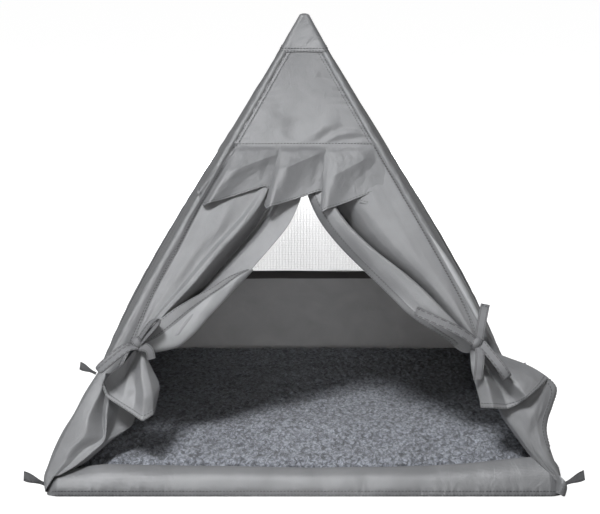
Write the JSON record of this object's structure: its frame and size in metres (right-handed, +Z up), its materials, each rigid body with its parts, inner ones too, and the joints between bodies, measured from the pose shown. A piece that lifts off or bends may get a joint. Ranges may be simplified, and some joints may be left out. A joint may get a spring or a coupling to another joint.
{
  "type": "pet teepee",
  "caption": "Square pet tent of coated cloth on bowed corner poles, with a valance, tied-back doorway curtains, a rear net window, peg loops and a thick curly fleece cushion.",
  "frame": {"origin": "middle of the square floor, on the ground", "axes": "+X to the right seen from the doorway, +Y from the doorway to the rear net window, +Z up through the apex"},
  "size_m": [0.5986, 0.5506, 0.494],
  "materials": {
    "cloth": "satin coated polyester",
    "floor_cloth": "coated polyester, matte side up",
    "net": "knitted net",
    "black_binding": "woven tape",
    "fleece": "curly pile",
    "filling": "loose fibre",
    "underside_cloth": "plain weave",
    "ribbon": "ribbed ribbon",
    "webbing": "woven webbing",
    "fibreglass": "smooth pultruded rod",
    "ferrule_metal": "drawn tube",
    "foot_rubber": "matte",
    "hub_plastic": "moulded"
  },
  "bodies": {
    "tent": {"apex_cap": "cloth", "apex_hub": "hub_plastic", "corner_sleeve_front_left": "cloth", "corner_sleeve_front_right": "cloth", "corner_sleeve_rear_left": "cloth", "corner_sleeve_rear_right": "cloth", "floor_panel": "floor_cloth", "front_gable": "cloth", "front_sill": "cloth", "left_curtain_skirt": "cloth", "left_tie_knot": "ribbon", "left_tie_loop_lower": "ribbon", "left_tie_loop_upper": "ribbon", "left_tie_tail_lower": "ribbon", "left_wall": "cloth", "pole_ferrule_front_left": "ferrule_metal", "pole_ferrule_front_right": "ferrule_metal", "pole_ferrule_rear_left": "ferrule_metal", "pole_ferrule_rear_right": "ferrule_metal", "pole_foot_front_left": "foot_rubber", "pole_foot_front_right": "foot_rubber", "pole_foot_rear_left": "foot_rubber", "pole_foot_rear_right": "foot_rubber", "pole_lower_front_left": "fibreglass", "pole_lower_front_right": "fibreglass", "pole_lower_rear_left": "fibreglass", "pole_lower_rear_right": "fibreglass", "pole_upper_front_left": "fibreglass", "pole_upper_front_right": "fibreglass", "pole_upper_rear_left": "fibreglass", "pole_upper_rear_right": "fibreglass", "rear_lower_wall": "cloth", "rear_net_window": "net", "rear_window_binding": "black_binding", "right_curtain_skirt": "cloth", "right_tie_knot": "ribbon", "right_tie_loop_lower": "ribbon", "right_tie_loop_upper": "ribbon", "right_tie_tail_lower": "ribbon", "right_tie_tail_upper": "ribbon", "right_wall": "cloth"},
    "left_curtain": {"left_curtain": "cloth"},
    "right_curtain": {"right_curtain": "cloth"},
    "valance": {"valance": "cloth"},
    "cushion": {"cushion_fleece_cover": "fleece", "cushion_filling": "filling", "cushion_underside": "underside_cloth"},
    "peg_loop_front_left": {"peg_loop_front_left": "webbing"},
    "peg_loop_front_right": {"peg_loop_front_right": "webbing"},
    "peg_loop_rear_left": {"peg_loop_rear_left": "webbing"},
    "peg_loop_rear_right": {"peg_loop_rear_right": "webbing"}
  },
  "joints": [
    {"name": "left_curtain_draw", "type": "hinge", "parent": "tent", "child": "left_curtain", "pos_m": [-0.002, -0.11662, 0.28951], "axis": [0, -0.8773, 0.4799], "range_deg": [0, 20]},
    {"name": "right_curtain_draw", "type": "hinge", "parent": "tent", "child": "right_curtain", "pos_m": [0.002, -0.11662, 0.28951], "axis": [0, 0.8773, -0.4799], "range_deg": [0, 20]},
    {"name": "valance_lift", "type": "hinge", "parent": "tent", "child": "valance", "pos_m": [0, -0.09208, 0.3504], "axis": [-1, 0, 0], "range_deg": [0, 85]},
    {"name": "cushion_lift", "type": "slide", "parent": "tent", "child": "cushion", "axis": [0, 0, 1], "range_m": [0, 0.02]},
    {"name": "peg_loop_front_left_fold", "type": "hinge", "parent": "tent", "child": "peg_loop_front_left", "pos_m": [-0.2753, -0.258, 0.002], "axis": [0, 1, 0], "range_deg": [-8, 50]},
    {"name": "peg_loop_front_right_fold", "type": "hinge", "parent": "tent", "child": "peg_loop_front_right", "pos_m": [0.2753, -0.258, 0.002], "axis": [0, -1, 0], "range_deg": [-8, 50]},
    {"name": "peg_loop_rear_left_fold", "type": "hinge", "parent": "tent", "child": "peg_loop_rear_left", "pos_m": [-0.2753, 0.258, 0.002], "axis": [0, 1, 0], "range_deg": [-8, 50]},
    {"name": "peg_loop_rear_right_fold", "type": "hinge", "parent": "tent", "child": "peg_loop_rear_right", "pos_m": [0.2753, 0.258, 0.002], "axis": [0, -1, 0], "range_deg": [-8, 50]}
  ]
}
